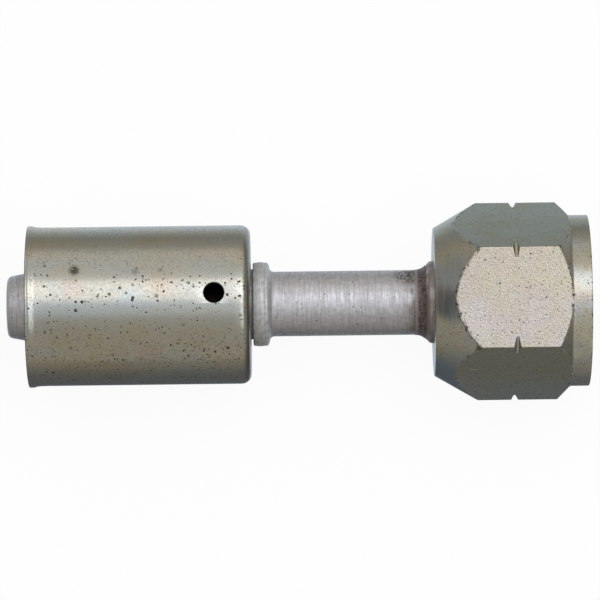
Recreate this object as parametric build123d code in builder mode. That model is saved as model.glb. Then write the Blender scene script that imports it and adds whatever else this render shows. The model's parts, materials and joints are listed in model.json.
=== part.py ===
from build123d import *

import os
from math import asin, cos, degrees, pi, radians, sin, tan

# Straight crimp hose fitting with a hex swivel nut, for a 1/2 inch air-conditioning hose.
# The centre line is the X axis. X = 0 is the sealing rim of the flare seat, the hose end points
# to -X and the nut opens to +X. One flat of the nut is down, as the fitting lies, and +Z is up.
# All sizes are in millimetres.

# What the fitting is made for: the hose before crimping, and the thread and cone of the port
hose_bore = 12.7
hose_outside_diameter = 25.4
thread_diameter = 26.99
thread_pitch = 25.4 / 14
thread_minor_share = 1.0825  # of the pitch, from the major to the minor diameter
seat_half_angle = 45.0

# A round edge is turned as a few short tapers
round_tapers = 3

# Walls of the turned insert stem, from the nipple outwards
barb_grip = 0.4  # height of a barb's crest above the hose's bore
barb_ease = 0.15  # depth of a barb's root below the hose's bore
nipple_wall = 1.7  # at the barb roots
nose_wall = 1.05
tube_wall = 1.5
neck_step = 0.5  # the staked neck stands above the tube
collar_height = 2.1  # the locking collar stands above the neck
bead_height = 1.8  # the bead stands above the tube

# Lengths and edges of the insert stem
nose_proud = 3.85  # how far the tip stands out of the ferrule
nose_lead = 5.9  # from the tip to the first barb's crest
nose_chamfer = 0.6
barb_count = 4
barb_land = 0.8
barb_tail = 9.0  # from the last barb to the locking collar
barb_ramp_angle = 20.0
collar_length = 2.0
bead_length = 2.95
bead_chamfer = 0.35
bead_root_chamfer = 0.55
bare_tube_length = 28.95

# Flare seat, brazed on the tube
braze_clearance = 0.05  # all round, between the tube and the seat's socket
socket_wall = 1.55
socket_depth = 5.0
seat_throat = 1.9  # from the end of the tube to the seat's cone
seat_rim_wall = 0.9
seat_rim_length = 2.5
seat_rear_chamfer = 0.85
rim_thread_gap = 0.4  # all round, between the seat's rim and the crests of the thread

# Copper fillet where the tube enters the seat
braze_length = 1.95
braze_height = 0.85
braze_toe = 0.08

# Ferrule, a drawn shell staked behind the locking collar
ferrule_length = 41.2
ferrule_wall = 1.5
hose_clearance = 0.5  # all round, between the hose and the ferrule
ferrule_corner_radius = 1.9
lip_height = 0.3  # the rolled lip stands above the ferrule's wall
lip_length = 1.6
lip_run_out = 1.2
stake_clearance = 0.05  # all round, between the ferrule's flange and the neck
bead_gap = 0.42  # between the ferrule's end face and the bead
sight_hole_diameter = 3.75
sight_hole_inset = 6.6  # from the ferrule's closed end
sight_hole_count = 2
sight_hole_angle = 6.3  # from +Z towards +Y
sight_hole_edge = 0.18

# Hex swivel nut
hex_sides = 6
nut_wall = 2.38  # from the thread's roots to the flats
nut_length = 28.6
swivel_clearance = 0.35  # all round, between the seat's neck and the nut's rear bore
shoulder_gap = 0.4  # along X, between the seat's back cone and the nut's inner cone
rear_chamfer_length = 8.03
rear_chamfer_angle = 30.0
front_chamfer_angle = 45.0
turned_collar_length = 3.5
turned_collar_step = 0.03  # the collar is turned this far below the flats
rear_wall = 5.0  # from the rear face to the inner cone
relief_depth = 0.15  # the relief is cut this much deeper than the thread
thread_start = 1.0  # beyond the seat's rim
mouth_depth = 0.2  # the mouth's chamfer opens this much wider than the thread
groove_position = 14.8  # from the rear face to the turned V-groove
groove_depth = 0.9  # below the hex corners
groove_angle = 50.0
groove_floor = 0.45

# Radii that follow from these sizes
root_radius = hose_bore / 2 - barb_ease
crest_radius = hose_bore / 2 + barb_grip
passage_radius = root_radius - nipple_wall
nose_radius = passage_radius + nose_wall
tube_radius = passage_radius + tube_wall
stem_neck_radius = tube_radius + neck_step
collar_radius = stem_neck_radius + collar_height
bead_radius = tube_radius + bead_height
socket_radius = tube_radius + braze_clearance
seat_neck_radius = socket_radius + socket_wall
thread_minor_radius = (thread_diameter - thread_minor_share * thread_pitch) / 2
seat_rim_radius = thread_minor_radius - rim_thread_gap
seat_mouth_radius = seat_rim_radius - seat_rim_wall
nut_bore_radius = seat_neck_radius + swivel_clearance
relief_radius = thread_diameter / 2 + relief_depth
mouth_radius = thread_diameter / 2 + mouth_depth
ferrule_bore_radius = hose_outside_diameter / 2 + hose_clearance
ferrule_radius = ferrule_bore_radius + ferrule_wall
lip_radius = ferrule_radius + lip_height
flat_radius = thread_diameter / 2 + nut_wall
corner_radius = flat_radius / cos(pi / hex_sides)

# Places along X, from the seat's rim back to the tip of the nose
seat_slope = tan(radians(seat_half_angle))
tube_end_x = -(seat_mouth_radius - passage_radius) / seat_slope - seat_throat
seat_rear_x = tube_end_x - socket_depth
seat_cone_x = -seat_rim_length - (seat_rim_radius - seat_neck_radius) / seat_slope
bead_front_x = seat_rear_x - bare_tube_length
bead_rear_x = bead_front_x - bead_length
ferrule_end_x = bead_rear_x - bead_gap
flange_x = ferrule_end_x - ferrule_wall
collar_rear_x = flange_x - collar_length
ferrule_mouth_x = ferrule_end_x - ferrule_length
nose_tip_x = ferrule_mouth_x - nose_proud

# Places along X on the nut
nut_cone_x = seat_cone_x - shoulder_gap + swivel_clearance / seat_slope
nut_rear_x = nut_cone_x - rear_wall
nut_front_x = nut_rear_x + nut_length
relief_x = nut_cone_x + (relief_radius - nut_bore_radius) / seat_slope

os.makedirs("parts", exist_ok=True)


def round_edge(centre, radius, start_angle, end_angle):
    """Corner points of a round edge in a turned profile, from start_angle to end_angle in degrees."""
    step = radians(end_angle - start_angle) / round_tapers
    points = []
    for taper in range(round_tapers + 1):
        angle = radians(start_angle) + taper * step
        points.append((centre[0] + radius * cos(angle), centre[1] + radius * sin(angle)))
    return points


# Insert stem, turned from bar in one piece: nose, barbs, locking collar, neck, bead and tube
barb_ramp = (crest_radius - root_radius) / tan(radians(barb_ramp_angle))
first_crest_x = nose_tip_x + nose_lead
last_crest_x = collar_rear_x - barb_tail - barb_land
barb_pitch = (last_crest_x - first_crest_x) / (barb_count - 1)
barb_outline = []
for barb in range(barb_count):
    crest_x = first_crest_x + barb * barb_pitch
    if barb > 0:
        barb_outline.append((crest_x - barb_ramp, root_radius))
    barb_outline.append((crest_x, crest_radius))
    barb_outline.append((crest_x + barb_land, crest_radius))
    barb_outline.append((crest_x + barb_land, root_radius))

stem_edges = [
    ((nose_tip_x, nose_radius), nose_chamfer),
    ((bead_rear_x, bead_radius), bead_chamfer),
    ((bead_front_x, bead_radius), bead_chamfer),
    ((bead_front_x, tube_radius), bead_root_chamfer),
]

with BuildPart() as insert_stem:
    with BuildSketch(Plane.XY) as stem_profile:
        with BuildLine():
            Polyline(
                (nose_tip_x, nose_radius),
                *barb_outline,
                (collar_rear_x, root_radius),
                (collar_rear_x, collar_radius),
                (flange_x, collar_radius),
                (flange_x, stem_neck_radius),
                (bead_rear_x, stem_neck_radius),
                (bead_rear_x, bead_radius),
                (bead_front_x, bead_radius),
                (bead_front_x, tube_radius),
                (tube_end_x, tube_radius),
                (tube_end_x, passage_radius),
                (nose_tip_x, passage_radius),
                close=True,
            )
        make_face()
        for edge, size in stem_edges:
            chamfer(stem_profile.vertices().sort_by_distance(edge)[0], size)
    revolve(axis=Axis.X)

insert_stem.part.label = "insert_stem"
export_step(insert_stem.part, "parts/insert_stem.step")

# Flare seat, turned: an inside cone in front, an outside cone behind for the nut to pull on,
# and a socket that the tube is brazed into
with BuildPart() as flare_seat:
    with BuildSketch(Plane.XY) as seat_profile:
        with BuildLine():
            Polyline(
                (seat_rear_x, socket_radius),
                (seat_rear_x, seat_neck_radius),
                (seat_cone_x, seat_neck_radius),
                (-seat_rim_length, seat_rim_radius),
                (0, seat_rim_radius),
                (0, seat_mouth_radius),
                (tube_end_x + seat_throat, passage_radius),
                (tube_end_x, passage_radius),
                (tube_end_x, socket_radius),
                close=True,
            )
        make_face()
        rear_corner = seat_profile.vertices().sort_by_distance((seat_rear_x, seat_neck_radius))[0]
        chamfer(rear_corner, seat_rear_chamfer)
    revolve(axis=Axis.X)

flare_seat.part.label = "flare_seat"
export_step(flare_seat.part, "parts/flare_seat.step")

# Braze fillet, a concave ring of copper in the corner between tube and seat
braze_toe_x = seat_rear_x - braze_length
braze_rise = braze_height - braze_toe
braze_curve = (braze_length**2 + braze_rise**2) / (2 * braze_rise)
braze_centre = (braze_toe_x, tube_radius + braze_toe + braze_curve)
braze_end_angle = degrees(asin(braze_length / braze_curve)) - 90

with BuildPart() as braze_fillet:
    with BuildSketch(Plane.XY):
        with BuildLine():
            Polyline(
                *round_edge(braze_centre, braze_curve, -90, braze_end_angle),
                (seat_rear_x, tube_radius),
                (braze_toe_x, tube_radius),
                close=True,
            )
        make_face()
    revolve(axis=Axis.X)

braze_fillet.part.label = "braze_fillet"
export_step(braze_fillet.part, "parts/braze_fillet.step")

# Ferrule, a drawn cup with a rolled lip, whose bottom is staked down into the stem's neck
flange_bore_radius = stem_neck_radius + stake_clearance
lip_end_x = ferrule_mouth_x + lip_length
wall_start_x = lip_end_x + lip_run_out
end_corner = (ferrule_end_x - ferrule_corner_radius, ferrule_radius - ferrule_corner_radius)

with BuildPart() as ferrule:
    with BuildSketch(Plane.XY):
        with BuildLine():
            Polyline(
                (ferrule_mouth_x, lip_radius),
                (lip_end_x, lip_radius),
                (wall_start_x, ferrule_radius),
                *round_edge(end_corner, ferrule_corner_radius, 90, 0),
                (ferrule_end_x, flange_bore_radius),
                (flange_x, flange_bore_radius),
                (flange_x, ferrule_bore_radius),
                (ferrule_mouth_x, ferrule_bore_radius),
                close=True,
            )
        make_face()
    revolve(axis=Axis.X)
    for hole in range(sight_hole_count):
        turn = radians(sight_hole_angle) + hole * 2 * pi / sight_hole_count
        outward = Vector(0, sin(turn), cos(turn))
        crown = Vector(ferrule_end_x - sight_hole_inset, 0, 0) + outward * ferrule_radius
        with Locations(Plane(origin=crown, x_dir=(1, 0, 0), z_dir=outward)):
            CounterSinkHole(
                radius=sight_hole_diameter / 2,
                counter_sink_radius=sight_hole_diameter / 2 + sight_hole_edge,
                depth=2 * ferrule_wall,
            )

ferrule.part.label = "ferrule"
export_step(ferrule.part, "parts/ferrule.step")

# Swivel nut: hex bar turned down at both ends, bored for the thread and grooved at its corners
rear_face_radius = corner_radius - rear_chamfer_length * tan(radians(rear_chamfer_angle))
turned_collar_radius = flat_radius - turned_collar_step
collar_start_x = nut_front_x - turned_collar_length
front_chamfer_length = (corner_radius - turned_collar_radius) / tan(radians(front_chamfer_angle))
groove_x = nut_rear_x + groove_position
groove_half_width = groove_floor / 2 + groove_depth * tan(radians(groove_angle / 2))

with BuildPart() as swivel_nut:
    with BuildSketch(Plane.YZ.offset(nut_rear_x)):
        RegularPolygon(radius=flat_radius, side_count=hex_sides, major_radius=False)
    extrude(amount=nut_length)
    with BuildSketch(Plane.XY):
        with BuildLine():
            Polyline(
                (nut_rear_x, 0),
                (nut_rear_x, rear_face_radius),
                (nut_rear_x + rear_chamfer_length, corner_radius),
                (collar_start_x - front_chamfer_length, corner_radius),
                (collar_start_x, turned_collar_radius),
                (nut_front_x, turned_collar_radius),
                (nut_front_x, 0),
                close=True,
            )
        make_face()
    revolve(axis=Axis.X, mode=Mode.INTERSECT)
    with BuildSketch(Plane.XY):
        with BuildLine():
            Polyline(
                (nut_rear_x, 0),
                (nut_rear_x, nut_bore_radius),
                (nut_cone_x, nut_bore_radius),
                (relief_x, relief_radius),
                (thread_start, relief_radius),
                (thread_start, thread_minor_radius),
                (nut_front_x - (mouth_radius - thread_minor_radius), thread_minor_radius),
                (nut_front_x, mouth_radius),
                (nut_front_x, 0),
                close=True,
            )
        make_face()
    revolve(axis=Axis.X, mode=Mode.SUBTRACT)
    with BuildSketch(Plane.XY):
        with BuildLine():
            Polyline(
                (groove_x - groove_half_width, corner_radius),
                (groove_x - groove_floor / 2, corner_radius - groove_depth),
                (groove_x + groove_floor / 2, corner_radius - groove_depth),
                (groove_x + groove_half_width, corner_radius),
                close=True,
            )
        make_face()
    revolve(axis=Axis.X, mode=Mode.SUBTRACT)

swivel_nut.part.label = "swivel_nut"
export_step(swivel_nut.part, "parts/swivel_nut.step")
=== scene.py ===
# %% [markdown]
# # Crimp hose fitting
# This lesson dresses a steel hose fitting. One end is crimped onto an air-conditioning hose,
# and the other end is screwed to a port by a hex nut that turns freely.
# The exact sizes come from a model that is loaded first. Its axis is the X axis, and X = 0 is
# the rim of the seat inside the nut.

# %% Load the fitting
import json
from math import atan, cos, pi, radians, sin, sqrt, tan

import bmesh
import bpy
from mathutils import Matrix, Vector


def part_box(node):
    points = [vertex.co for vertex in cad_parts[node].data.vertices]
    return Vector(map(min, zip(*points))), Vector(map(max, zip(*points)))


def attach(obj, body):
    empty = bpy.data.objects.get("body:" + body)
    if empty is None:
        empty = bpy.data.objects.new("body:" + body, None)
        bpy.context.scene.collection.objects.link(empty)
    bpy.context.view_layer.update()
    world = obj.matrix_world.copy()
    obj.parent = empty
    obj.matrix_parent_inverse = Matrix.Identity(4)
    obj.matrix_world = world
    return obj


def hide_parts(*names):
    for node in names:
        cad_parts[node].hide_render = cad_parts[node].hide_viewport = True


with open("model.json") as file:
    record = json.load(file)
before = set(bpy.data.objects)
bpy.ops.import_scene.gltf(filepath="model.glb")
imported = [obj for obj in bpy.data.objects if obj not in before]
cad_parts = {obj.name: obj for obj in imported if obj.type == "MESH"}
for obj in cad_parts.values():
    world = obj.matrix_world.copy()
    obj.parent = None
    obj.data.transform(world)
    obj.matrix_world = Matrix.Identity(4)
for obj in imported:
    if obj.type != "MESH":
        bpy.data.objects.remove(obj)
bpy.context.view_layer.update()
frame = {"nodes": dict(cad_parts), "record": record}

MM = 0.001
mounts = {mount["name"]: mount for mount in frame["record"]["mounts"]}
print("pieces to dress:", ", ".join(sorted(frame["nodes"])))

# %% [markdown]
# ## Places that the pieces share
# A box round each loaded piece says where it starts and ends, in metres. The lesson works in
# millimetres, as a drawing does, so the places are turned into millimetres once, here.

# %% Shared places and radii
def ends(node):
    """The lowest and highest X of a loaded piece, and its radius, in millimetres."""
    low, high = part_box(node)
    return low.x / MM, high.x / MM, high.z / MM


nose_tip, tube_end, locking_collar_radius = ends("insert_stem")
mouth, ferrule_end, lip_radius = ends("ferrule")
braze_toe, seat_rear, _ = ends("braze_fillet")
_, seat_rim, seat_rim_radius = ends("flare_seat")
nut_rear, nut_front, flat_radius = ends("swivel_nut")
corner_radius = flat_radius / cos(pi / 6)
floor_height = -flat_radius
print(f"the fitting is {nut_front - nose_tip:.1f} mm long and lies {flat_radius:.2f} mm high")

# %% [markdown]
# ## Camera
# The photograph looks almost straight down from about 0.8 m, with a long lens, and the fitting
# fills the width of the picture. The camera leans a little, because the far side of the nut
# shows less than the near side. A long lens is a small angle: the frame is 111 mm wide here.

# %% Camera
camera_distance = 835 * MM
camera_elevation = radians(87.3)
camera_roll = radians(0.7)
frame_width = 111.3 * MM
look_at = Vector((-37.29 * MM, 0.7 * MM, 0))
away = Vector((0, -cos(camera_elevation), sin(camera_elevation)))

bpy.ops.object.select_all(action="DESELECT")
bpy.ops.object.camera_add(location=look_at + away * camera_distance)
camera = bpy.context.object
camera.rotation_euler = (radians(90) - camera_elevation, 0, -camera_roll)
camera.data.angle = 2 * atan(frame_width / 2 / camera_distance)
camera.data.clip_start = 10 * MM
bpy.context.scene.camera = camera
bpy.context.scene.view_settings.view_transform = "Standard"
print(f"the lens is {camera.data.lens:.0f} mm long")

# %% [markdown]
# ## Light
# Bare metal is a mirror, so the lamps are the picture. A lamp is given by its brightness, where
# 1 looks white, and its power follows from its area. One long softbox stands above and behind
# the fitting and draws the bright band along it. A dimmer, bluish panel beside it lets the band
# fade out towards the camera, another fills the far side, and a small one on the right puts a
# glint on the rounded ends.

# %% Lamps
def softbox(name, lean, turn, distance, width, depth, brightness, tint):
    """A soft lamp that looks at the fitting: lean is from straight up, turn is from +Y towards +X."""
    way = Vector((sin(lean) * sin(turn), sin(lean) * cos(turn), cos(lean)))
    bpy.ops.object.light_add(type="AREA", location=look_at + way * distance)
    lamp = bpy.context.object
    lamp.name = name
    lamp.rotation_euler = way.to_track_quat("Z", "Y").to_euler()
    lamp.data.shape = "RECTANGLE"
    lamp.data.size = width
    lamp.data.size_y = depth
    lamp.data.energy = brightness * pi * width * depth
    lamp.data.color = tint
    print(f"{name}: {lamp.data.energy:.2f} W")


# Lean, turn, distance, width and depth in metres, brightness and tint
softbox("key_softbox", radians(20), 0, 1.2, 1.8, 0.66, 1.45, (0.97, 1.0, 1.06))
softbox("near_panel", radians(6), pi, 1.2, 1.8, 0.42, 0.36, (0.8, 0.97, 1.2))
softbox("far_panel", radians(62), 0, 1.0, 1.6, 0.85, 0.34, (1.02, 1.0, 0.94))
softbox("right_panel", radians(22), radians(84), 0.9, 1.3, 0.42, 0.95, (0.96, 1.0, 1.07))

world = bpy.data.worlds.new("studio")
bpy.context.scene.world = world
world.use_nodes = True
room = world.node_tree.nodes["Background"]
room.inputs["Color"].default_value = (0.51, 0.492, 0.442, 1)
room.inputs["Strength"].default_value = 1.0

# %% [markdown]
# ## Colours and nodes
# Colours are written as hex values, as a paint program shows them. The renderer works with
# linear light, so one function turns them. A second function adds a node, sets it up and links
# it, and every material below is written with it. Its inputs can be given in the order of the
# node's sockets or by name, and an input can be a value, a socket, or another node, which then
# gives its first output.

# %% Colour and node helpers
def colour(hex_value):
    """Linear colour of an sRGB hex value such as b0a890."""
    channels = [int(hex_value[place : place + 2], 16) / 255 for place in (0, 2, 4)]
    linear = [c / 12.92 if c <= 0.04045 else ((c + 0.055) / 1.055) ** 2.4 for c in channels]
    return (*linear, 1.0)


def add(tree, kind, inputs=(), **settings):
    """Adds a node. Settings are its own choices. Inputs are values, sockets or nodes."""
    node = tree.nodes.new("ShaderNode" + kind)
    for name, value in settings.items():
        setattr(node, name, value)
    if isinstance(inputs, dict):
        pairs = [(node.inputs[name], value) for name, value in inputs.items()]
    else:
        pairs = zip([socket for socket in node.inputs if socket.enabled], inputs)
    for socket, value in pairs:
        if isinstance(value, bpy.types.Node):
            value = next(output for output in value.outputs if output.enabled)
        if isinstance(value, bpy.types.NodeSocket):
            tree.links.new(value, socket)
        else:
            socket.default_value = value
    return node


def new_material(name):
    """An empty material and its node tree."""
    material = bpy.data.materials.new(name)
    material.use_nodes = True
    material.node_tree.nodes.clear()
    return material, material.node_tree


print("white is", [round(value, 2) for value in colour("ffffff")])

# %% [markdown]
# ## Floor
# The fitting lies on white paper. Paper is dull, so its material is plain diffuse colour, and
# the shadow of the fitting falls on it. The camera sees most of the paper as pure white by the
# Light Path node. The metal mirrors that white too, but with painted light and shadow: in the
# photograph the paper is bright behind the fitting and dim in front of it, so a Color Ramp paints
# these grey levels across the fitting, and only the metal's reflections show them.

# %% Floor
white_share = 0.93
paper_radius = 8
paper_half = 150
# Place across the fitting in millimetres, and the painted grey of light and shadow on the paper that
# the metal mirrors there
painted_paper_light = [
    (-120, "958f84"), (-60, "6e7274"), (-19, "545c66"), (-13, "e4f1ff"), (26, "e4f1ff"),
    (43, "b9c0c0"), (62, "8f9593"), (120, "aaa498"),
]

bpy.ops.object.select_all(action="DESELECT")
bpy.ops.mesh.primitive_circle_add(
    vertices=64, radius=paper_radius, fill_type="NGON", location=(0, 0, floor_height * MM)
)
floor = bpy.context.object
floor.name = "paper_floor"
material, tree = new_material("white_paper")

rays = add(tree, "LightPath")
mirrored = add(
    tree, "Math", [rays.outputs["Is Glossy Ray"], rays.outputs["Is Transmission Ray"]],
    operation="ADD",
)
seen = add(tree, "Math", [mirrored, rays.outputs["Is Camera Ray"]], operation="ADD")
share = add(tree, "Math", [seen, white_share], operation="MULTIPLY")

place = add(tree, "TexCoord").outputs["Object"]
across = add(tree, "SeparateXYZ", [place]).outputs["Y"]
graded = add(tree, "MapRange", [across, -paper_half * MM, paper_half * MM])
ramp = add(tree, "ValToRGB", [graded])
stops = ramp.color_ramp.elements
stops.remove(stops[1])
for where, shade in painted_paper_light:
    stops.new((where + paper_half) / (2 * paper_half)).color = colour(shade)
stops.remove(stops[0])
white = add(tree, "Mix", [rays.outputs["Is Camera Ray"], ramp, colour("ffffff")], data_type="RGBA")

paper = add(tree, "BsdfDiffuse", [colour("f2f1ee")])
glow = add(tree, "Emission", [white, 1.0])
mixed = add(tree, "MixShader", [share, paper, glow])
add(tree, "OutputMaterial", [mixed])
floor.data.materials.append(material)
print("the floor is at", round(floor_height, 3), "mm")

# %% [markdown]
# ## Turning and cutting
# Nearly every piece here is turned on a lathe, and Blender's lathe is the Spin operator. A
# section is drawn first, on one side of the X axis: a single vertex is extruded from corner to
# corner, the way it is done by hand with E. Then the corners that are round on the real piece
# are bevelled, and the section is spun round the axis. What a lathe can't make is cut with a
# tool by a Boolean modifier.

# %% The lathe
turning_steps = 144


def draw_section(name, corners):
    """Draws a closed section. A corner is (x, radius) or (x, radius, rounding), in millimetres."""
    bpy.ops.object.select_all(action="DESELECT")
    bpy.ops.mesh.primitive_plane_add(size=MM, location=(0, 0, 0))
    piece = bpy.context.object
    piece.name = name
    piece.data.name = name
    places = [Vector((corner[0] * MM, corner[1] * MM, 0)) for corner in corners]
    bpy.ops.object.mode_set(mode="EDIT")
    bpy.ops.mesh.merge(type="CENTER")
    bpy.ops.transform.translate(value=places[0])
    for here, there in zip(places, places[1:]):
        bpy.ops.mesh.extrude_vertices_move(TRANSFORM_OT_translate={"value": there - here})
    bpy.ops.mesh.select_all(action="SELECT")
    bpy.ops.mesh.edge_face_add()
    for place, corner in zip(places, corners):
        if len(corner) > 2:
            round_corner(piece, place, corner[2])
    return piece


def round_corner(piece, place, rounding, segments=5):
    """Bevels the one corner of a section that is nearest to a place."""
    mesh = bmesh.from_edit_mesh(piece.data)
    nearest = min(mesh.verts, key=lambda vertex: (vertex.co - place).length)
    bpy.ops.mesh.select_all(action="DESELECT")
    nearest.select = True
    mesh.select_flush_mode()
    bmesh.update_edit_mesh(piece.data)
    bpy.ops.mesh.bevel(
        offset_type="OFFSET", offset=rounding * MM, segments=segments, affect="VERTICES"
    )


def spin_section(piece, steps, smooth_below=30):
    """Spins the drawn section round the X axis into a closed piece."""
    bpy.ops.mesh.select_all(action="SELECT")
    bpy.ops.mesh.delete(type="ONLY_FACE")
    bpy.ops.mesh.select_all(action="SELECT")
    bpy.ops.mesh.spin(steps=steps, angle=2 * pi, center=(0, 0, 0), axis=(1, 0, 0))
    bpy.ops.mesh.select_all(action="SELECT")
    bpy.ops.mesh.remove_doubles(threshold=0.001 * MM)
    bpy.ops.mesh.normals_make_consistent(inside=False)
    bpy.ops.object.mode_set(mode="OBJECT")
    bpy.ops.object.shade_smooth_by_angle(angle=radians(smooth_below))
    print(f"{piece.name}: {len(piece.data.polygons)} faces")


print("the lathe draws a section, rounds its corners and spins it")

# %% Cutting with a tool
def carve(piece, tool, operation):
    """Applies a Boolean modifier to a piece, and removes the tool that it worked with."""
    cut = piece.modifiers.new("cut", "BOOLEAN")
    cut.object = tool
    cut.operation = operation
    cut.solver = "EXACT"
    bpy.context.view_layer.objects.active = piece
    bpy.ops.object.modifier_apply(modifier=cut.name)
    bpy.data.objects.remove(tool)


print("a tool is any closed piece")

# %% [markdown]
# ## Insert stem
# The stem is one turned steel tube. Its nose and barbs push into the hose, a locking collar
# holds the ferrule, and the bead stops it. The barbs' ramps and their sharp backs are what
# grips the rubber. Only the nose, the bead and the bare tube show from outside, and the bead
# is crowned, with a fine turned crease before its shoulder.

# %% Insert stem
passage_radius = 4.5
nose_radius = 5.6
tube_radius = 6.0
neck_radius = 6.5
barb_root_radius = 6.2
barb_crest_radius = mounts["hose_nipple"]["dims"]["r_mm"]
first_crest = nose_tip + 5.9
barb_count = 4
barb_land = 0.8
barb_tail = 9.0
barb_ramp = (barb_crest_radius - barb_root_radius) / tan(radians(20))
ferrule_wall = 1.5
collar_length = 2.0
collar_rear = ferrule_end - ferrule_wall - collar_length
barb_pitch = (collar_rear - barb_tail - barb_land - first_crest) / (barb_count - 1)
bead_rear = ferrule_end + 0.42
bead_front = bead_rear + 3.05
bead_radius = 7.8
# Distance from the bead's rear face, and depth below its crown there
bead_crown = [(0.8, 0.02), (1.5, 0.0), (2.0, 0.04), (2.1, 0.11), (2.2, 0.11), (2.3, 0.06)]

stem_section = [(nose_tip, nose_radius, 0.8)]
for barb in range(barb_count):
    crest = first_crest + barb * barb_pitch
    if barb > 0:
        stem_section.append((crest - barb_ramp, barb_root_radius))
    stem_section.append((crest, barb_crest_radius, 0.2))
    stem_section.append((crest + barb_land, barb_crest_radius, 0.06))
    stem_section.append((crest + barb_land, barb_root_radius, 0.1))
stem_section += [
    (collar_rear, barb_root_radius, 0.15),
    (collar_rear, locking_collar_radius, 0.25),
    (collar_rear + collar_length, locking_collar_radius, 0.25),
    (collar_rear + collar_length, neck_radius),
    (bead_rear, neck_radius),
    (bead_rear, bead_radius - 0.14, 0.2),
]
stem_section += [(bead_rear + along, bead_radius - below) for along, below in bead_crown]
stem_section += [
    (bead_front - 0.4, bead_radius - 0.12),
    (bead_front - 0.05, bead_radius - 0.5, 0.35),
    (bead_front + 0.1, tube_radius, 0.75),
    (tube_end, tube_radius, 0.1),
    (tube_end, passage_radius, 0.1),
    (nose_tip, passage_radius, 0.3),
]
stem = draw_section("turned_stem", stem_section)
spin_section(stem, turning_steps)

# %% [markdown]
# ## Flare seat
# The seat is brazed on the end of the tube. Its inside cone seals on the port, and the nut
# pulls on its outside cone. All its edges are broken a little, as a lathe hand does with a file.

# %% Flare seat
seat_neck_radius = 7.6
seat_socket_radius = 6.05
seat_mouth_radius = 11.213
seat_rim_length = 2.5
seat_chamfer = 0.85
seat_cone = -seat_rim_length - (seat_rim_radius - seat_neck_radius)
seat_throat = seat_rim - (seat_mouth_radius - passage_radius)

seat = draw_section(
    "turned_seat",
    [
        (seat_rear, seat_socket_radius),
        (seat_rear, seat_neck_radius - seat_chamfer, 0.12),
        (seat_rear + seat_chamfer, seat_neck_radius, 0.25),
        (seat_cone, seat_neck_radius, 0.4),
        (seat_rim - seat_rim_length, seat_rim_radius, 0.3),
        (seat_rim, seat_rim_radius, 0.25),
        (seat_rim, seat_mouth_radius, 0.15),
        (seat_throat, passage_radius, 0.3),
        (tube_end, passage_radius),
        (tube_end, seat_socket_radius),
    ],
)
spin_section(seat, turning_steps)

# %% [markdown]
# ## Braze
# Copper ran into the corner between tube and seat and froze there as a hollow ring. Melted
# metal has no sharp edge and is never quite even, so the ring is spun from a hollow curve and
# then pushed about a little by a Displace modifier with a cloud pattern.

# %% Braze ring
braze_height = 0.83
braze_foot = 0.05
braze_points = 8

braze_length = seat_rear - braze_toe
braze_rise = braze_height - braze_foot
braze_curve = (braze_length**2 + braze_rise**2) / (2 * braze_rise)
braze_section = [(seat_rear, tube_radius - braze_foot), (braze_toe, tube_radius - braze_foot)]
for point in range(braze_points + 1):
    along = braze_length * point / braze_points
    height = braze_curve - sqrt(braze_curve**2 - along**2)
    braze_section.append((braze_toe + along, tube_radius + braze_foot + height))
braze = draw_section("copper_braze", braze_section)
spin_section(braze, turning_steps, smooth_below=60)

lumps = bpy.data.textures.new("braze_lumps", type="CLOUDS")
lumps.noise_scale = 0.9 * MM
displace = braze.modifiers.new("lumps", "DISPLACE")
displace.texture = lumps
displace.texture_coords = "LOCAL"
displace.strength = 0.16 * MM
displace.mid_level = 0.5
bpy.ops.object.modifier_apply(modifier=displace.name)
print("the braze ring is", round(braze_length, 2), "mm long")

# %% [markdown]
# ## Ferrule
# The ferrule is a cup of drawn sheet steel. Its bottom is staked behind the locking collar, its
# corner is well rounded by the drawing die, and its mouth has a low rolled lip with a crease
# behind its edge. Two sight holes near the bottom show whether the hose is pushed home. The cup
# is spun, and the holes are cut by a Boolean modifier with a cylinder, which is how a drill
# would do it. Two rings of points beside the holes keep the cut's long faces away from the rest
# of the wall.

# %% Ferrule shell
lip_height = 0.3
stake_gap = 0.05
ferrule_radius = lip_radius - lip_height
ferrule_bore = ferrule_radius - ferrule_wall
flange_bore = neck_radius + stake_gap
hole_x = ferrule_end - 6.6
hole_radius = 3.75 / 2
# The rings of points stand this far behind and before the middle of the holes
ring_behind, ring_before = 4, 3.2

ferrule = draw_section(
    "drawn_ferrule",
    [
        (mouth, lip_radius - 0.04, 0.2),
        (mouth + 0.36, lip_radius, 0.08),
        (mouth + 0.48, lip_radius - 0.08, 0.05),
        (mouth + 0.6, lip_radius, 0.06),
        (mouth + 0.8, lip_radius, 0.1),
        (mouth + 1.5, ferrule_radius + 0.07, 0.4),
        (mouth + 3.0, ferrule_radius, 0.8),
        (hole_x - ring_behind, ferrule_radius),
        (hole_x + ring_before, ferrule_radius),
        (ferrule_end, ferrule_radius, 1.8),
        (ferrule_end, flange_bore, 0.15),
        (ferrule_end - ferrule_wall, flange_bore),
        (ferrule_end - ferrule_wall, ferrule_bore, 0.9),
        (hole_x + ring_before, ferrule_bore),
        (hole_x - ring_behind, ferrule_bore),
        (mouth, ferrule_bore, 0.35),
    ],
)
spin_section(ferrule, 240)

# %% Sight holes
hole_turn = radians(6.3)
hole_edge = 0.2

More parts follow.
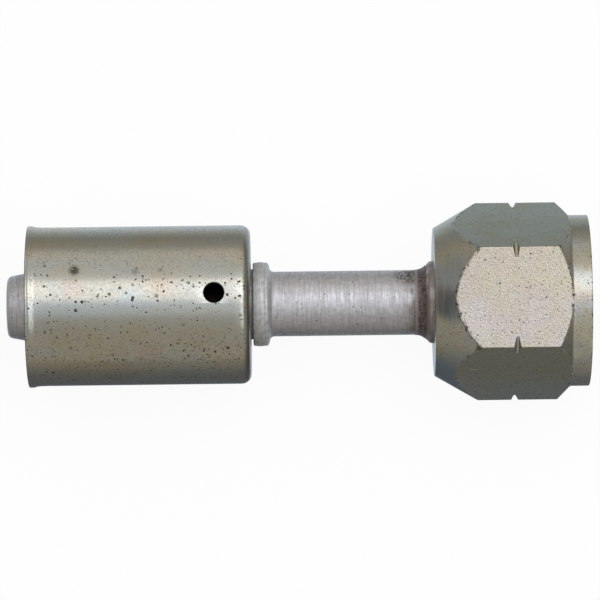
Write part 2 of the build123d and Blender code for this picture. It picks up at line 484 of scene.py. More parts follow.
for side in (0, pi):
    outward = Vector((0, sin(hole_turn + side), cos(hole_turn + side)))
    crown = Vector((hole_x * MM, 0, 0)) + outward * ferrule_radius * MM
    bpy.ops.object.select_all(action="DESELECT")
    bpy.ops.mesh.primitive_cylinder_add(
        vertices=64,
        radius=hole_radius * MM,
        depth=4 * ferrule_wall * MM,
        location=crown,
        rotation=outward.to_track_quat("Z", "Y").to_euler(),
    )
    carve(ferrule, bpy.context.object, "DIFFERENCE")

    # Break the outer edge of the hole, as deburring does
    bpy.ops.object.select_all(action="DESELECT")
    ferrule.select_set(True)
    bpy.ops.object.mode_set(mode="EDIT")
    bpy.ops.mesh.select_mode(type="EDGE")
    bpy.ops.mesh.select_all(action="DESELECT")
    mesh = bmesh.from_edit_mesh(ferrule.data)
    for edge in mesh.edges:
        middle = (edge.verts[0].co + edge.verts[1].co) / 2
        off_drill = middle - crown - outward * (middle - crown).dot(outward)
        rim = abs(off_drill.length - hole_radius * MM) < 0.02 * MM
        outside = middle.yz.length > (ferrule_radius - 0.3) * MM and middle.dot(outward) > 0
        edge.select = rim and outside
    bmesh.update_edit_mesh(ferrule.data)
    bpy.ops.mesh.bevel(offset=hole_edge * MM, segments=3, affect="EDGES", clamp_overlap=False)
    bpy.ops.mesh.select_mode(type="VERT")
    bpy.ops.object.mode_set(mode="OBJECT")
bpy.ops.object.shade_smooth_by_angle(angle=radians(30))
print("ferrule with sight holes:", len(ferrule.data.polygons), "faces")

# %% [markdown]
# ## Swivel nut
# The nut starts as hex bar. On the lathe its rear is turned to a steep cone, its front to a
# short collar, and a V-groove is cut into its corners, the mark of this kind of flare nut.
# So the bar is a cylinder with six sides, and a Boolean modifier keeps what it shares with a
# turned ring that has the cone, the collar, the groove and the bore in its section.

# %% Hex blank
rear_cone_length = 8.03
rear_cone_slope = tan(radians(30))
rear_face_radius = corner_radius - rear_cone_length * rear_cone_slope
collar_radius = flat_radius - 0.03
collar_start = nut_front - 3.5
groove_x = nut_rear + 14.8
groove_depth = 0.9
groove_floor = 0.45
groove_half_width = groove_floor / 2 + groove_depth * tan(radians(25))
nut_bore = 7.95
relief_radius = 13.645
rear_wall = 5.0
inner_cone = nut_rear + rear_wall
thread_minor = mounts["thread"]["dims"]["r_mm"]
thread_start = mounts["thread"]["pos_m"][0] / MM
thread_mouth = 13.695
# The turned ring stands this far out of the bar, so that no two faces lie on each other
spare = 0.5

bpy.ops.object.select_all(action="DESELECT")
bpy.ops.mesh.primitive_cylinder_add(
    vertices=6,
    radius=corner_radius * MM,
    depth=(nut_front - nut_rear + 1) * MM,
    location=((nut_rear + nut_front) / 2 * MM, 0, 0),
    rotation=(0, pi / 2, 0),
)
nut = bpy.context.object
nut.name = "hex_swivel_nut"
nut.data.name = nut.name
bpy.ops.object.transform_apply(location=True, rotation=True, scale=True)

ring = draw_section(
    "nut_turning",
    [
        (nut_rear, nut_bore),
        (nut_rear, rear_face_radius),
        (nut_rear + rear_cone_length + spare, corner_radius + spare * rear_cone_slope),
        (groove_x - groove_half_width - spare, corner_radius + spare * rear_cone_slope),
        (groove_x - groove_half_width, corner_radius),
        (groove_x - groove_floor / 2, corner_radius - groove_depth),
        (groove_x + groove_floor / 2, corner_radius - groove_depth),
        (groove_x + groove_half_width, corner_radius),
        (groove_x + groove_half_width + spare, corner_radius + spare),
        (collar_start - (corner_radius - collar_radius) - spare, corner_radius + spare),
        (collar_start, collar_radius, 0.25),
        (nut_front, collar_radius),
        (nut_front, thread_mouth),
        (nut_front - (thread_mouth - thread_minor), thread_minor),
        (thread_start, thread_minor),
        (thread_start, relief_radius),
        (inner_cone + relief_radius - nut_bore, relief_radius),
        (inner_cone, nut_bore),
    ],
)
spin_section(ring, turning_steps)

carve(nut, ring, "INTERSECT")
print("hex blank:", len(nut.data.polygons), "faces")

# %% Soften the nut's edges
nut_edge = 0.12
bpy.ops.object.select_all(action="DESELECT")
nut.select_set(True)
bpy.ops.object.mode_set(mode="EDIT")
bpy.ops.mesh.select_mode(type="EDGE")
bpy.ops.mesh.select_all(action="SELECT")
bpy.ops.mesh.remove_doubles(threshold=0.002 * MM)
bpy.ops.mesh.select_all(action="DESELECT")
bpy.ops.mesh.edges_select_sharp(sharpness=radians(22))
bpy.ops.mesh.bevel(offset=nut_edge * MM, segments=2, affect="EDGES", clamp_overlap=False)
bpy.ops.mesh.select_mode(type="VERT")
bpy.ops.object.mode_set(mode="OBJECT")
print("softened blank:", len(nut.data.polygons), "faces")

# %% [markdown]
# ## Thread
# The thread in the nut has 14 turns to the inch. A real tap is a screw with sharp ridges, so
# the tap is made here: the section of one ridge is drawn, a Screw modifier winds it along the
# axis by one pitch each turn, its ends are filled, and a Boolean modifier cuts it out.

# %% Thread
thread_pitch = 25.4 / 14
# A 60 degree thread with flat crests is this share of its pitch deep
depth_share = 0.5413
thread_depth = depth_share * thread_pitch
thread_major = thread_minor + thread_depth
ridge_flat = thread_pitch / 8
ridge_foot_radius = thread_minor - 0.3
ridge_foot = ridge_flat + 2 * (thread_major - ridge_foot_radius) * tan(radians(30))
ridge_start = 0.2
tap_turns = 10

tap = draw_section(
    "thread_tap",
    [
        (ridge_start - ridge_foot / 2, ridge_foot_radius),
        (ridge_start - ridge_flat / 2, thread_major),
        (ridge_start + ridge_flat / 2, thread_major),
        (ridge_start + ridge_foot / 2, ridge_foot_radius),
    ],
)
bpy.ops.mesh.select_all(action="SELECT")
bpy.ops.mesh.delete(type="ONLY_FACE")
bpy.ops.object.mode_set(mode="OBJECT")
wind = tap.modifiers.new("wind", "SCREW")
wind.axis = "X"
wind.angle = 2 * pi
wind.screw_offset = thread_pitch * MM
wind.iterations = tap_turns
wind.steps = wind.render_steps = 96
bpy.ops.object.modifier_apply(modifier=wind.name)
bpy.ops.object.mode_set(mode="EDIT")
bpy.ops.mesh.select_all(action="DESELECT")
bpy.ops.mesh.select_non_manifold()
bpy.ops.mesh.fill_holes(sides=4)
bpy.ops.mesh.select_all(action="SELECT")
bpy.ops.mesh.normals_make_consistent(inside=False)
bpy.ops.object.mode_set(mode="OBJECT")

carve(nut, tap, "DIFFERENCE")
bpy.ops.object.select_all(action="DESELECT")
nut.select_set(True)
bpy.ops.object.shade_smooth_by_angle(angle=radians(26))
weighted = nut.modifiers.new("flat_flats", "WEIGHTED_NORMAL")
weighted.keep_sharp = True
bpy.ops.object.modifier_apply(modifier=weighted.name)
print("threaded nut:", len(nut.data.polygons), "faces")

# %% [markdown]
# ## Masks
# A worn finish is many small patterns on top of each other, and each one is a mask: 0 where it
# leaves the metal alone and 1 where it covers it. All of them read Object coordinates, which are
# metres on the fitting, so their sizes are real sizes.
#
# Clouds are noise, cut off between two levels and smoothed. Specks use a Voronoi texture: it
# divides space into cells with a point in each, and the distance to the nearest point draws
# round dots. Each cell also has a random colour, which decides whether its dot shows and how
# large it is. A blot is one soft round mark, and a scratch is everything near a straight line.

# %% Clouds and specks
# A dot fades out over this much, in millimetres
soft_rim = 0.06


def clouds(tree, place, size, low, high, detail=2.0, offset=0.0):
    """Soft clouds of a size in millimetres, where the noise rises from a low to a high level."""
    moved = add(tree, "VectorMath", [place, (offset * MM,) * 3], operation="ADD")
    noise = add(tree, "TexNoise", {"Vector": moved, "Scale": 1 / (size * MM), "Detail": detail})
    return add(tree, "MapRange", [noise, low, high], interpolation_type="SMOOTHSTEP")


def specks(tree, place, spacing, largest, share, offset=0.0):
    """Round dots: their spacing and largest width in millimetres, share of cells that have one."""
    moved = add(tree, "VectorMath", [place, (offset * MM,) * 3], operation="ADD")
    cells = add(tree, "TexVoronoi", {"Vector": moved, "Scale": 1 / (spacing * MM)})
    chance = add(tree, "SeparateColor", [cells.outputs["Color"]])
    reach = add(tree, "MapRange", [chance, 1 - share, 1.0, 0.0, largest / 2 / spacing])
    inside = add(tree, "Math", [reach, cells], operation="SUBTRACT")
    return add(tree, "MapRange", [inside, 0.0, soft_rim / spacing])


print("the rim of a dot is", soft_rim, "mm wide")

# %% Blots, scratches and distance from the axis
# A blot has its full strength up to this share of its radius
blot_core = 0.45


def blot(tree, place, centre, radius):
    """One soft round mark: its centre and radius in millimetres."""
    away = add(tree, "VectorMath", [place, Vector(centre) * MM], operation="DISTANCE")
    return add(tree, "MapRange", [away, blot_core * radius * MM, radius * MM, 1.0, 0.0])


def scratch(tree, place, start, end, width):
    """A straight scratch from one place to another, in millimetres."""
    along = (Vector(end) - Vector(start)) * MM
    moved = add(tree, "VectorMath", [place, Vector(start) * MM], operation="SUBTRACT")
    dotted = add(tree, "VectorMath", [moved, along / along.length_squared], operation="DOT_PRODUCT")
    nearest = add(tree, "Math", [dotted, 1.0], operation="MULTIPLY", use_clamp=True)
    on_line = add(tree, "VectorMath", {"Vector": tuple(along), "Scale": nearest}, operation="SCALE")
    away = add(tree, "VectorMath", [moved, on_line], operation="DISTANCE")
    return add(tree, "MapRange", [away, 0.0, width * MM, 1.0, 0.0])


def marks(tree, place, wanted):
    """The strongest of several blots, each given by centre, radius and strength."""
    strongest = None
    for centre, radius, strength in wanted:
        mark = add(tree, "Math", [blot(tree, place, centre, radius), strength], operation="MULTIPLY")
        if strongest is not None:
            mark = add(tree, "Math", [strongest, mark], operation="MAXIMUM")
        strongest = mark
    return strongest


def from_axis(tree, place):
    """Distance from the X axis, in metres."""
    sideways = add(tree, "VectorMath", [place, (0, 1, 1)], operation="MULTIPLY")
    return add(tree, "VectorMath", [sideways], operation="LENGTH")


print("masks: blots, scratches and the distance from the axis")

# %% [markdown]
# ## Chromated drawn steel, for the ferrule
# The shell was drawn from sheet, plated with zinc and dipped in yellow chromate. Drawing leaves
# it smooth, so it mirrors softly. The thin film is a weak olive grey. Two bluish bands along its
# top are painted reflection of the bluish light that it mirrors there, and bluish and pinkish
# clouds are so faint that they only just show. Small rust specks have come through it by the
# hundred, with a few larger ones in clusters, and fine dirt lies between them. The rounded end is
# painted darker, and the inside of the cup is painted black, as shade.

# %% Chromated drawn steel
rust_brown = colour("3a2c22")
dirt_and_end_shade_olive = colour("5d5646")
# Black for the cut edge, and painted shade inside the cup and on the stem that it hides
cut_edge_and_shade_black = colour("2e2927")

material, tree = new_material("chromated_drawn_steel")
place = add(tree, "TexCoord").outputs["Object"]
spread = add(tree, "SeparateXYZ", [place]).outputs

# Bluish clouds are drawn out along the fitting, and warm ones are round
drawn_out = add(tree, "Mapping", {"Vector": place, "Scale": (0.25, 1, 1)})
cool = clouds(tree, drawn_out, 4, 0.42, 0.66, offset=40)
cool = add(tree, "Math", [cool, 0.5], operation="MULTIPLY")

# Each band is painted bluish reflection. It has a middle, a distance where it starts to fade, one
# where it ends, and a strength
painted_reflection_bands = []
for middle, fades_from, ends_at, strength in [(-1.3, 1.0, 4.0, 0.75), (6.2, 1.3, 3.2, 0.7)]:
    away = add(tree, "Math", [spread["Y"], middle * MM], operation="SUBTRACT")
    away = add(tree, "Math", [away], operation="ABSOLUTE")
    painted_reflection_bands.append(add(tree, "MapRange", [away, fades_from * MM, ends_at * MM, strength, 0.0]))
painted_reflection_band = add(tree, "Math", painted_reflection_bands, operation="MAXIMUM")
uneven = add(
    tree, "Math", [clouds(tree, drawn_out, 3, 0.36, 0.62, offset=71), 0.55, 0.45],
    operation="MULTIPLY_ADD",
)
painted_reflection_band = add(tree, "Math", [painted_reflection_band, uneven], operation="MULTIPLY")
# A round patch of painted bluish reflection joins the bands
painted_blue_reflection = marks(tree, place, [((-67.6, 0.3, 14.7), 3.4, 0.9)])
painted_reflection_band = add(tree, "Math", [painted_reflection_band, painted_blue_reflection], operation="MAXIMUM")
# From here the bluish clouds and the painted bluish reflection share one mask
cool = add(tree, "Math", [cool, painted_reflection_band], operation="MAXIMUM")
warm = add(tree, "Math", [clouds(tree, place, 6, 0.44, 0.7, offset=7), 0.6], operation="MULTIPLY")
film = add(tree, "Mix", [warm, colour("b5b0a4"), colour("b2a992")], data_type="RGBA")
film = add(tree, "Mix", [cool, film, colour("acb2b3")], data_type="RGBA")
pink = marks(
    tree, place,
    [
        ((-78.1, 2.9, 14.7), 2.9, 0.3),
        ((-61.8, 3.3, 14.4), 3.2, 0.22),
        ((-64.5, -9.5, 11.4), 3.4, 0.3),
    ],
)
film = add(tree, "Mix", [pink, film, colour("b9998a")], data_type="RGBA")
mottle = add(tree, "Math", [clouds(tree, place, 0.42, 0.35, 0.7, 3), 0.3], operation="MULTIPLY")
film = add(tree, "Mix", [mottle, film, colour("7b7361")], data_type="RGBA")

# The dots are round cells, so their outlines are pushed about by a finer noise
ragged = add(tree, "TexNoise", {"Vector": place, "Scale": 1 / (0.35 * MM), "Detail": 1.0})
wobble = add(
    tree, "VectorMath", {"Vector": ragged.outputs["Color"], "Scale": 0.4 * MM}, operation="SCALE"
)
rough_place = add(tree, "VectorMath", [place, wobble], operation="ADD")

# Fine dirt is thickest low on the near side, where the fitting lay. The rounded end is darkened in
# the same olive as painted shade, for the dark that its corner mirrors
near_side = add(tree, "MapRange", [spread["Y"], -2 * MM, -7 * MM, 0.25, 0.8])
dirt_patches = add(
    tree, "Math", [near_side, clouds(tree, place, 6, 0.33, 0.52, offset=60)], operation="MULTIPLY"
)
dirt = add(
    tree, "Math", [specks(tree, rough_place, 0.42, 0.4, 0.6), dirt_patches], operation="MULTIPLY"
)
dirt_and_painted_end_shade = add(tree, "Mix", [dirt, film, dirt_and_end_shade_olive], data_type="RGBA")
# Painted shade: the rounded end is darkened
painted_end_shade = add(tree, "MapRange", [spread["X"], (ferrule_end - 1.3) * MM, (ferrule_end - 0.6) * MM])
painted_end_shade = add(tree, "Math", [painted_end_shade, 0.6], operation="MULTIPLY")
dirt_and_painted_end_shade = add(tree, "Mix", [painted_end_shade, dirt_and_painted_end_shade, dirt_and_end_shade_olive], data_type="RGBA")

# Rust is sparse on the far side, in clusters, and a few larger marks have their own places
far_side = add(tree, "MapRange", [spread["Y"], 5 * MM, 9 * MM, 1.0, 0.3])
cluster = clouds(tree, place, 6, 0.38, 0.56, offset=13)
large = add(
    tree, "Math", [specks(tree, rough_place, 1.15, 0.75, 0.45, 5), cluster], operation="MULTIPLY"
)
small_cluster = clouds(tree, place, 3, 0.36, 0.5, offset=33)
small = add(
    tree, "Math", [specks(tree, rough_place, 0.58, 0.5, 0.55, 9), small_cluster],
    operation="MULTIPLY",
)
rust = add(tree, "Math", [large, small], operation="MAXIMUM")
rust = add(tree, "Math", [rust, far_side], operation="MULTIPLY")
placed = marks(
    tree, rough_place,
    [
        ((-77.8, 6.1, 13.4), 1.35, 1.0),
        ((-66.7, 5.8, 13.5), 1.0, 0.5),
        ((-75.1, 7.4, 12.7), 0.35, 0.8),
        ((-67.1, 3.4, 14.3), 0.45, 0.9),
        ((-71.4, 1.7, 14.6), 0.5, 0.9),
        ((-73.6, 1.3, 14.6), 0.45, 0.9),
        ((-62.1, 6.0, 13.4), 0.6, 0.7),
        ((-62.8, 1.3, 14.6), 0.55, 0.8),
        ((-71.0, -9.3, 11.4), 0.45, 0.9),
        ((-69.1, -10.2, 10.6), 0.45, 0.9),
        ((-73.1, -10.5, 10.3), 0.45, 0.9),
    ],
)
flaky = clouds(tree, place, 0.35, 0.3, 0.55, 2, offset=3)
flaky = add(tree, "Math", [flaky, 0.6, 0.4], operation="MULTIPLY_ADD")
placed = add(tree, "Math", [placed, flaky], operation="MULTIPLY")
rust = add(tree, "Math", [rust, placed], operation="MAXIMUM")
shade = add(tree, "Mix", [rust, dirt_and_painted_end_shade, rust_brown], data_type="RGBA")

# The cut edge of the mouth is dark, and everything inside the cup is painted dark, as shade
cut_edge = add(
    tree, "MapRange", [spread["X"], (mouth + 0.06) * MM, (mouth + 0.16) * MM, 0.85, 0.0]
)
within = add(
    tree, "MapRange",
    [from_axis(tree, place), (ferrule_radius - 0.6) * MM, (ferrule_radius - 0.3) * MM, 1.0, 0.0],
)
bottom = (ferrule_end - ferrule_wall) * MM
before_bottom = add(
    tree, "MapRange", [spread["X"], bottom + 0.05 * MM, bottom + 0.1 * MM, 1.0, 0.0]
)
inside = add(tree, "Math", [within, before_bottom], operation="MULTIPLY")
cut_edge_and_painted_inside_shade = add(tree, "Math", [cut_edge, inside], operation="MAXIMUM")
shade = add(tree, "Mix", [cut_edge_and_painted_inside_shade, shade, cut_edge_and_shade_black], data_type="RGBA")

bare = add(tree, "Math", [rust, cut_edge_and_painted_inside_shade], operation="MAXIMUM")
metallic = add(tree, "Math", [bare, -0.9, 1.0], operation="MULTIPLY_ADD")
polish = add(tree, "MapRange", [mottle, 0.0, 0.3, 0.22, 0.34])
dull = add(tree, "Math", [bare, 0.35, polish], operation="MULTIPLY_ADD")
grit = add(tree, "TexNoise", {"Vector": place, "Scale": 1 / (0.3 * MM), "Detail": 2.0})
height = add(tree, "Math", [rust, -3.0, grit], operation="MULTIPLY_ADD")
bump = add(tree, "Bump", {"Height": height, "Distance": 0.005 * MM, "Strength": 1.0})
shader = add(
    tree, "BsdfPrincipled",
    {"Base Color": shade, "Metallic": metallic, "Roughness": dull, "Normal": bump},
)
add(tree, "OutputMaterial", [shader])
ferrule.data.materials.append(material)
print("the ferrule has", len(tree.nodes), "nodes of finish")

# %% [markdown]
# ## Chromated hex steel, for the nut
# The nut has the same plating on bar steel, but it looks different on each kind of surface.
# The drawn flats keep a grain of tiny pits, which breaks up the reflection into a sparkle where
# they mirror the edge of the lamp. The turned cone and collar are smoother, with fine rings.
# A point is on a flat if it is as far from the axis as the flats are, measured square to the
# nearest flat, so that distance tells flats and turned faces apart. Where a flat meets a turned
# face the plating has chipped, and rust and dirt sit in the chips.

# %% Flats and edges of the nut
material, tree = new_material("chromated_hex_steel")
place = add(tree, "TexCoord").outputs["Object"]
spread = add(tree, "SeparateXYZ", [place]).outputs

to_flat = None
for flat in range(3):
    square = (0, sin(flat * pi / 3), cos(flat * pi / 3))
    reach = add(tree, "VectorMath", [place, square], operation="DOT_PRODUCT")
    reach = add(tree, "Math", [reach], operation="ABSOLUTE")
    to_flat = reach if to_flat is None else add(tree, "Math", [to_flat, reach], operation="MAXIMUM")
below_flat = add(tree, "Math", [flat_radius * MM, to_flat], operation="SUBTRACT")
turned = add(tree, "MapRange", [below_flat, 0.03 * MM, 0.1 * MM])

reach = from_axis(tree, place)
rear_cone = add(
    tree, "Math",
    [spread["X"], rear_cone_slope, (rear_face_radius - nut_rear * rear_cone_slope) * MM],
    operation="MULTIPLY_ADD",
)
front_cone = add(
    tree, "Math", [(collar_radius + collar_start) * MM, spread["X"]], operation="SUBTRACT"
)
cone = add(tree, "Math", [rear_cone, front_cone], operation="MINIMUM")
below_cone = add(tree, "Math", [cone, reach], operation="SUBTRACT")
off_cone = add(tree, "Math", [below_cone], operation="ABSOLUTE")
from_edge = add(tree, "Math", [off_cone, below_flat], operation="MAXIMUM")
from_front = add(tree, "Math", [nut_front * MM, spread["X"]], operation="SUBTRACT")
from_rim = add(tree, "Math", [collar_radius * MM, reach], operation="SUBTRACT")
from_rim = add(tree, "Math", [from_rim, from_front], operation="MAXIMUM")
from_edge = add(tree, "Math", [from_edge, from_rim], operation="MINIMUM")
line = add(tree, "MapRange", [from_edge, 0.04 * MM, 0.2 * MM, 0.75, 0.0])
edge = add(tree, "MapRange", [from_edge, 0.1 * MM, 0.42 * MM, 1.0, 0.0])
chipped = clouds(tree, place, 1.0, 0.52, 0.66, 3, offset=4)
chips = add(tree, "Math", [edge, chipped], operation="MULTIPLY")
worn = clouds(tree, place, 3, 0.4, 0.6, offset=44)
line = add(tree, "Math", [line, worn], operation="MULTIPLY")
chips = add(tree, "Math", [chips, line], operation="MAXIMUM")
print("turned faces and chipped edges are told apart")

# %% Chromated hex steel
# The film is pinkish on top. The olive near side and the bluish grey far side are painted reflection,
# for the colour of the light that each side mirrors
sides = add(tree, "MapRange", [spread["Y"], -12 * MM, 12 * MM])
ramp = add(tree, "ValToRGB", [sides])
stops = ramp.color_ramp.elements
stops[0].color = colour("aeac9c")
stops[1].color = colour("b2b8b3")
for where, tint in [(0.112, "aeac9c"), (0.12, "aea49f"), (0.88, "aba092"), (0.888, "b2b8b3")]:
    stops.new(where).color = colour(tint)
film = add(tree, "Mix", [turned, ramp, colour("aea99c")], data_type="RGBA")
patch = add(tree, "Math", [clouds(tree, place, 5, 0.4, 0.7, offset=21), 0.5], operation="MULTIPLY")
film = add(tree, "Mix", [patch, film, colour("aba78b")], data_type="RGBA")

# Its lowest edge gets a painted bluish reflection, the near side of the collar gets painted light,
# and the top has a pale stain
painted_low_edge_reflection = add(tree, "MapRange", [spread["Y"], -13 * MM, -17 * MM, 0.0, 0.6])
film = add(tree, "Mix", [painted_low_edge_reflection, film, colour("b6bcbf")], data_type="RGBA")
# Painted light: the collar is lighter on its near side
on_collar = add(tree, "MapRange", [spread["X"], (collar_start - 0.3) * MM, collar_start * MM])
painted_near_side_light = add(tree, "MapRange", [spread["Y"], -3 * MM, -7 * MM, 0.0, 1.0])
painted_collar_light = add(tree, "Math", [on_collar, painted_near_side_light], operation="MULTIPLY")
film = add(tree, "Mix", [painted_collar_light, film, colour("c8c3b2")], data_type="RGBA")
pale = marks(tree, place, [((-5.6, -4.8, 15.9), 5.5, 0.22)])
film = add(tree, "Mix", [pale, film, colour("bdb9c1")], data_type="RGBA")

# Bluish clouds are stronger on turned faces, and fine dirt and dark dots lie all over
more_cool = add(tree, "MapRange", [turned, 0.0, 1.0, 0.15, 0.6])
cool = add(
    tree, "Math", [clouds(tree, place, 4, 0.4, 0.66, offset=52), more_cool], operation="MULTIPLY"
)
film = add(tree, "Mix", [cool, film, colour("a9b0b3")], data_type="RGBA")
mottle = add(tree, "Math", [clouds(tree, place, 0.35, 0.35, 0.65, 3), 0.22], operation="MULTIPLY")
film = add(tree, "Mix", [mottle, film, colour("6d6558")], data_type="RGBA")
pepper = add(
    tree, "Math", [specks(tree, place, 0.4, 0.36, 0.75, 2), 0.52], operation="MULTIPLY"
)
film = add(tree, "Mix", [pepper, film, colour("4f463a")], data_type="RGBA")

# Turning leaves rings, drawn twice as coarse as real ones so that they show
stretched = add(
    tree, "Mapping", {"Vector": place, "Scale": (1 / (0.3 * MM), 1 / (6 * MM), 1 / (6 * MM))}
)
rings = add(tree, "TexNoise", {"Vector": stretched, "Scale": 1.0, "Detail": 2.0})
ringed = add(tree, "Math", [turned, rings], operation="MULTIPLY")

# Painted shade: dark brown and bluish marks on the rear cone, broken up by the rings, stand in for
# the dim side that it mirrors, and its near edge gets a painted bluish reflection
painted_cone_shades = [
    (marks(tree, place, [((nut_rear + 3.0, 3.0, 14.8), 6.5, 0.85)]), "8c9196"),
    (marks(tree, place, [((nut_rear + 1.4, -0.6, 14.0), 3.8, 0.75)]), "685c55"),
    (marks(tree, place, [((nut_rear + 3.2, -1.6, 15.2), 3.6, 0.8)]), "59636c"),
    (add(tree, "MapRange", [spread["Y"], -9 * MM, -12 * MM, 0.0, 0.8]), "98a4b0"),
]
broken = add(tree, "MapRange", [rings, 0.35, 0.6, 0.6, 1.0])
on_cone = add(
    tree, "MapRange", [spread["X"], (nut_rear + 8) * MM, (nut_rear + 8.2) * MM, 1.0, 0.0]
)
cone_shade_reach = add(tree, "Math", [broken, turned], operation="MULTIPLY")
cone_shade_reach = add(tree, "Math", [cone_shade_reach, on_cone], operation="MULTIPLY")
for mask, tint in painted_cone_shades:
    mask = add(tree, "Math", [mask, cone_shade_reach], operation="MULTIPLY")
    film = add(tree, "Mix", [mask, film, colour(tint)], data_type="RGBA")

# Rust specks are fewer on the far side, rust fills the chips, and it is deepest at corners
large = add(
    tree, "Math",
    [specks(tree, place, 1.4, 0.55, 0.5, 3), clouds(tree, place, 5, 0.45, 0.6, offset=9)],
    operation="MULTIPLY",
)
small = add(tree, "Math", [specks(tree, place, 0.7, 0.4, 0.4, 6), 0.7], operation="MULTIPLY")
rust = add(tree, "Math", [large, small], operation="MAXIMUM")
far_side = add(tree, "MapRange", [spread["Y"], 8 * MM, 10 * MM, 1.0, 0.4])
rust = add(tree, "Math", [rust, far_side], operation="MULTIPLY")
rust = add(tree, "Math", [rust, chips], operation="MAXIMUM")
rear_corner = nut_rear + rear_cone_length
front_corner = collar_start - corner_radius + collar_radius
deep = marks(
    tree, place,
    [
        ((rear_corner - 0.3, -9.3, 15.6), 0.85, 0.9),
        ((rear_corner - 0.2, 9.3, 15.6), 0.65, 0.7),
        ((rear_corner - 4.3, -11.6, 11.7), 0.5, 0.9),
        ((front_corner + 0.2, 9.3, 15.6), 0.6, 0.7),
    ],
)
rust = add(tree, "Math", [rust, deep], operation="MAXIMUM")
shade = add(tree, "Mix", [rust, film, colour("2e2320")], data_type="RGBA")

# One long faint scratch runs down the far flat, and a short bright one marks the near flat
long_scratch = scratch(tree, place, (1.1, 9.6, 15.1), (11.1, 12.8, 9.6), 0.3)
faint = add(tree, "Math", [long_scratch, 0.4], operation="MULTIPLY")
shade = add(tree, "Mix", [faint, shade, colour("8a8578")], data_type="RGBA")
bright_scratch = scratch(tree, place, (-5.8, -12.8, 9.5), (-4.7, -12.9, 9.4), 0.16)
shade = add(tree, "Mix", [bright_scratch, shade, colour("f4ece0")], data_type="RGBA")

metallic = add(tree, "Math", [rust, -0.9, 1.0], operation="MULTIPLY_ADD")
dull = add(tree, "Math", [rust, 0.3, 0.32], operation="MULTIPLY_ADD")
pitted = add(tree, "TexNoise", {"Vector": place, "Scale": 1 / (0.33 * MM), "Detail": 2.0})
grain = add(tree, "MapRange", [turned, 0.0, 1.0, 1.0, 0.15])
grained = add(tree, "Math", [pitted, grain], operation="MULTIPLY")
height = add(tree, "Math", [rust, -0.5, grained], operation="MULTIPLY_ADD")
height = add(tree, "Math", [ringed, 0.1, height], operation="MULTIPLY_ADD")
bump = add(tree, "Bump", {"Height": height, "Distance": 0.036 * MM, "Strength": 1.0})
shader = add(
    tree, "BsdfPrincipled",
    {"Base Color": shade, "Metallic": metallic, "Roughness": dull, "Normal": bump},
)
add(tree, "OutputMaterial", [shader])
nut.data.materials.append(material)
print("the nut has", len(tree.nodes), "nodes of finish")
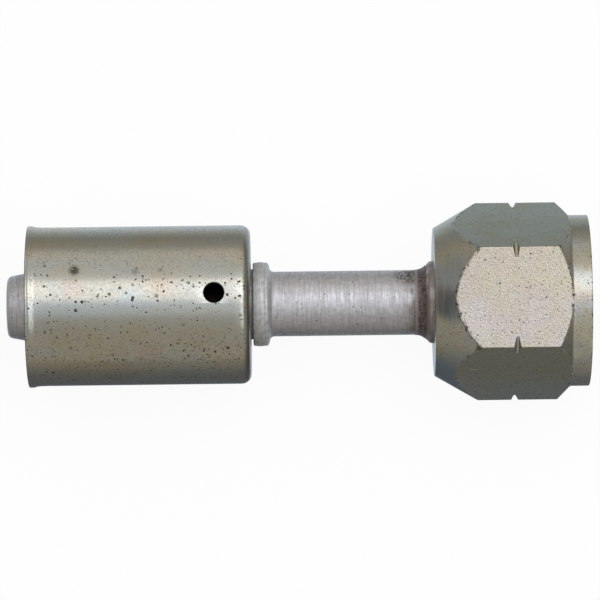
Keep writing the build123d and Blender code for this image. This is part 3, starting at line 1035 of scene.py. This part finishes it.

# %% [markdown]
# ## Turned mild steel, for the stem and the seat
# The stem has almost no plating left, and its grey steel is satin. The lathe tool ran round it
# and left rings that are finer than a picture can show, so they are drawn four times as coarse.
# A noise texture stretched round the axis gives such rings: its scale along X is the spacing of
# the rings, and it changes only slowly the other way. The heat of the brazing torch left a brown
# and grey bloom and one sooty mark beside the braze. The bead is paler, because it kept more of
# its plating. The part of the stem that the ferrule hides is painted black, as shade.

# %% Turned steel
def turned_steel(name, tints, roughness, bloom_start, bloom_end):
    """Turned steel in two tints, with rings, pits and a bloom that grows from one X to another."""
    material, tree = new_material(name)
    place = add(tree, "TexCoord").outputs["Object"]
    along = add(tree, "SeparateXYZ", [place]).outputs["X"]
    stretched = add(
        tree, "Mapping", {"Vector": place, "Scale": (1 / (0.15 * MM), 1 / (5 * MM), 1 / (5 * MM))}
    )
    rings = add(tree, "TexNoise", {"Vector": stretched, "Scale": 1.0, "Detail": 2.0})
    ringed = add(tree, "MapRange", [rings, 0.35, 0.65, 0.0, 0.45])
    patches = add(tree, "Math", [clouds(tree, place, 0.8, 0.35, 0.65, 4), 0.4], operation="MULTIPLY")
    tint = add(tree, "Mix", [patches, colour(tints[0]), colour(tints[1])], data_type="RGBA")
    tint = add(tree, "Mix", [ringed, tint, colour("9c999a")], data_type="RGBA")

    near_braze = add(
        tree, "MapRange", [along, bloom_start * MM, bloom_end * MM], interpolation_type="SMOOTHSTEP"
    )
    bloom = add(
        tree, "Math", [near_braze, clouds(tree, place, 2.2, 0.3, 0.6, 4, offset=17)],
        operation="MULTIPLY",
    )
    tint = add(tree, "Mix", [bloom, tint, colour("8f8480")], data_type="RGBA")

    soot = add(
        tree, "Math",
        [
            marks(tree, place, [((braze_toe - 1.8, 4.9, 3.4), 2.8, 0.75)]),
            clouds(tree, place, 0.5, 0.35, 0.6, 3, offset=23),
        ],
        operation="MULTIPLY",
    )
    tint = add(tree, "Mix", [soot, tint, colour("4e4644")], data_type="RGBA")

    few_pits = add(
        tree, "Math",
        [specks(tree, place, 0.75, 0.42, 0.35), clouds(tree, place, 3, 0.42, 0.58)],
        operation="MULTIPLY",
    )
    more_pits = add(
        tree, "Math", [specks(tree, place, 0.9, 0.45, 0.45, 5), near_braze], operation="MULTIPLY"
    )
    pits = add(tree, "Math", [few_pits, more_pits], operation="MAXIMUM")
    fine_pits = add(
        tree, "Math",
        [specks(tree, place, 0.42, 0.34, 0.6, 11), clouds(tree, place, 2.5, 0.4, 0.65, offset=29)],
        operation="MULTIPLY",
    )
    fine_pits = add(tree, "Math", [fine_pits, 0.55], operation="MULTIPLY")
    pits = add(tree, "Math", [pits, fine_pits], operation="MAXIMUM")
    tint = add(tree, "Mix", [pits, tint, colour("2a2526")], data_type="RGBA")
    # The part of the stem inside the ferrule is painted black, as the shade in the cup
    hidden = add(tree, "MapRange", [along, (mouth + 1.0) * MM, (mouth + 3.0) * MM])
    shown = add(tree, "MapRange", [along, (ferrule_end - 0.2) * MM, (ferrule_end - 0.1) * MM])
    painted_shade_under_ferrule = add(tree, "Math", [hidden, shown], operation="SUBTRACT", use_clamp=True)
    tint = add(tree, "Mix", [painted_shade_under_ferrule, tint, cut_edge_and_shade_black], data_type="RGBA")

    # The bead has kept more of its plating, so it is paler and duller
    on_bead = add(
        tree, "MapRange", [along, (bead_front + 0.3) * MM, (bead_front - 0.1) * MM, 0.0, 0.6]
    )
    on_bead = add(tree, "Math", [on_bead, shown], operation="MULTIPLY")
    mottle = clouds(tree, place, 0.9, 0.38, 0.62, 4, offset=31)
    plated = add(tree, "Mix", [mottle, colour("e6e8e7"), colour("cacbcc")], data_type="RGBA")
    tint = add(tree, "Mix", [on_bead, tint, plated], data_type="RGBA")

    satin = add(tree, "MapRange", [rings, 0.35, 0.65, roughness - 0.09, roughness + 0.09])
    dull = add(tree, "Math", [bloom, 0.15, satin], operation="MULTIPLY_ADD")
    dull = add(tree, "Math", [on_bead, 0.18, dull], operation="MULTIPLY_ADD")
    height = add(tree, "Math", [pits, -3.0, rings], operation="MULTIPLY_ADD")
    bump = add(tree, "Bump", {"Height": height, "Distance": 0.009 * MM, "Strength": 1.0})
    shader = add(
        tree, "BsdfPrincipled",
        {"Base Color": tint, "Metallic": 1.0, "Roughness": dull, "Normal": bump},
    )
    add(tree, "OutputMaterial", [shader])
    print(name, "has", len(tree.nodes), "nodes")
    return material


stem.data.materials.append(
    turned_steel("turned_mild_steel", ("c9c8cd", "a39e9d"), 0.58, braze_toe - 3, braze_toe + 0.5)
)
seat.data.materials.append(
    turned_steel("turned_seat_steel", ("bdb8ba", "9c9594"), 0.5, seat_rear + 3, seat_rear)
)

# %% [markdown]
# ## Copper braze
# The torch left the copper oxidised, dark brown and dull, with a scaly surface.

# %% Oxidised copper braze
material, tree = new_material("oxidised_copper_braze")
place = add(tree, "TexCoord").outputs["Object"]
scale = clouds(tree, place, 0.6, 0.3, 0.7, 4)
tint = add(tree, "Mix", [scale, colour("433a3b"), colour("736664")], data_type="RGBA")
along = add(tree, "SeparateXYZ", [place]).outputs["X"]
thin = add(tree, "MapRange", [along, (braze_toe + 0.3) * MM, (braze_toe + 0.7) * MM, 1.0, 0.0])
tint = add(tree, "Mix", [thin, tint, colour("8a8483")], data_type="RGBA")
crust = add(tree, "TexNoise", {"Vector": place, "Scale": 1 / (0.35 * MM), "Detail": 4.0})
bump = add(tree, "Bump", {"Height": crust, "Distance": 0.06 * MM, "Strength": 1.0})
shader = add(
    tree, "BsdfPrincipled", {"Base Color": tint, "Metallic": 0.5, "Roughness": 0.5, "Normal": bump}
)
add(tree, "OutputMaterial", [shader])
braze.data.materials.append(material)
print("the braze is oxidised copper")

# %% [markdown]
# ## Putting the pieces on the fitting
# Each new piece stands for one loaded piece, which is hidden, and rides on the same body, so
# that it moves with it.

# %% Ride and replace
dressed = [
    (stem, "fitting", "insert_stem", "stem_steel"),
    (seat, "fitting", "flare_seat", "seat_steel"),
    (braze, "fitting", "braze_fillet", "braze_copper"),
    (ferrule, "fitting", "ferrule", "ferrule_steel"),
    (nut, "nut", "swivel_nut", "nut_steel"),
]
for piece, body, node, slot in dressed:
    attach(piece, body)
    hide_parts(node)
    print(f"{piece.name} stands for {node} and rides on {body}")
